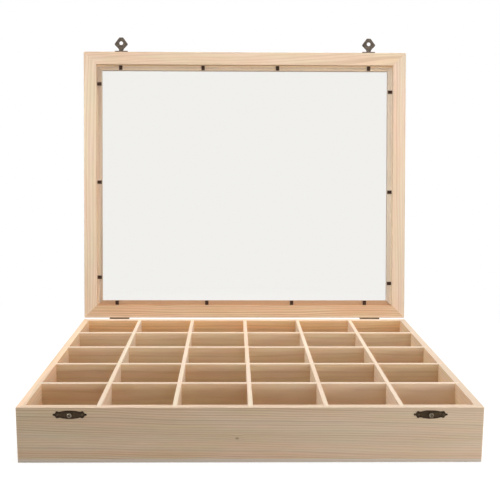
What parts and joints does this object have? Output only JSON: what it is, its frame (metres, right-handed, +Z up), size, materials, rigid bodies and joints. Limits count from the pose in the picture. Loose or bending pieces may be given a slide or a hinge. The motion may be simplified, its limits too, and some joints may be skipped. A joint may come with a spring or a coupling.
{
  "type": "mineral specimen box",
  "caption": "Shallow wooden display case with a grid of open compartments and a hinged, glazed lid closed by two swinging hasps over studded catch plates.",
  "frame": {"origin": "middle of the case's underside, on the surface it stands on", "axes": "+X to the right along the front, +Y from the front wall to the hinged back wall, +Z up"},
  "size_m": [0.4, 0.3954, 0.3953],
  "materials": {
    "pine_wall": "bare sanded pine",
    "pine_divider": "bare sanded pine",
    "pine_lid": "bare sanded pine",
    "ply_base": "bare thin plywood",
    "clear_glass": "polished",
    "antique_bronze": "dark antique bronze patina",
    "dark_steel": "dull dark steel strip"
  },
  "bodies": {
    "case": {"front_wall": "pine_wall", "back_wall": "pine_wall", "left_wall": "pine_wall", "right_wall": "pine_wall", "base_panel": "ply_base", "depth_divider_1": "pine_divider", "depth_divider_2": "pine_divider", "depth_divider_3": "pine_divider", "depth_divider_4": "pine_divider", "depth_divider_5": "pine_divider", "cross_divider_1": "pine_divider", "cross_divider_2": "pine_divider", "cross_divider_3": "pine_divider", "cross_divider_4": "pine_divider", "hinge_case_leaf_left": "antique_bronze", "hinge_pin_left": "antique_bronze", "catch_plate_left": "antique_bronze", "catch_stud_left": "antique_bronze", "hinge_case_leaf_right": "antique_bronze", "hinge_pin_right": "antique_bronze", "catch_plate_right": "antique_bronze", "catch_stud_right": "antique_bronze", "hinge_case_screws": "antique_bronze", "catch_plate_nails": "antique_bronze"},
    "lid": {"lid_front_rail": "pine_lid", "lid_back_rail": "pine_lid", "lid_left_rail": "pine_lid", "lid_right_rail": "pine_lid", "lid_glass": "clear_glass", "glazing_tabs_front": "dark_steel", "glazing_tabs_back": "dark_steel", "glazing_tabs_left": "dark_steel", "glazing_tabs_right": "dark_steel", "hinge_lid_leaf_left": "antique_bronze", "hasp_plate_left": "antique_bronze", "hasp_pin_left": "antique_bronze", "hinge_lid_leaf_right": "antique_bronze", "hasp_plate_right": "antique_bronze", "hasp_pin_right": "antique_bronze", "hinge_lid_screws": "antique_bronze", "hasp_plate_nails": "antique_bronze"},
    "hasp_left": {"hasp_tongue_left": "antique_bronze"},
    "hasp_right": {"hasp_tongue_right": "antique_bronze"}
  },
  "joints": [
    {"name": "lid_hinge", "type": "hinge", "parent": "case", "child": "lid", "pos_m": [0, 0.1662, 0.04965], "axis": [1, 0, 0], "range_deg": [0, 98]},
    {"name": "hasp_left_hinge", "type": "hinge", "parent": "lid", "child": "hasp_left", "pos_m": [-0.154, 0.21616, 0.37819], "axis": [1, 0, 0], "range_deg": [-90, 90]},
    {"name": "hasp_right_hinge", "type": "hinge", "parent": "lid", "child": "hasp_right", "pos_m": [0.154, 0.21616, 0.37819], "axis": [1, 0, 0], "range_deg": [-90, 90]}
  ]
}
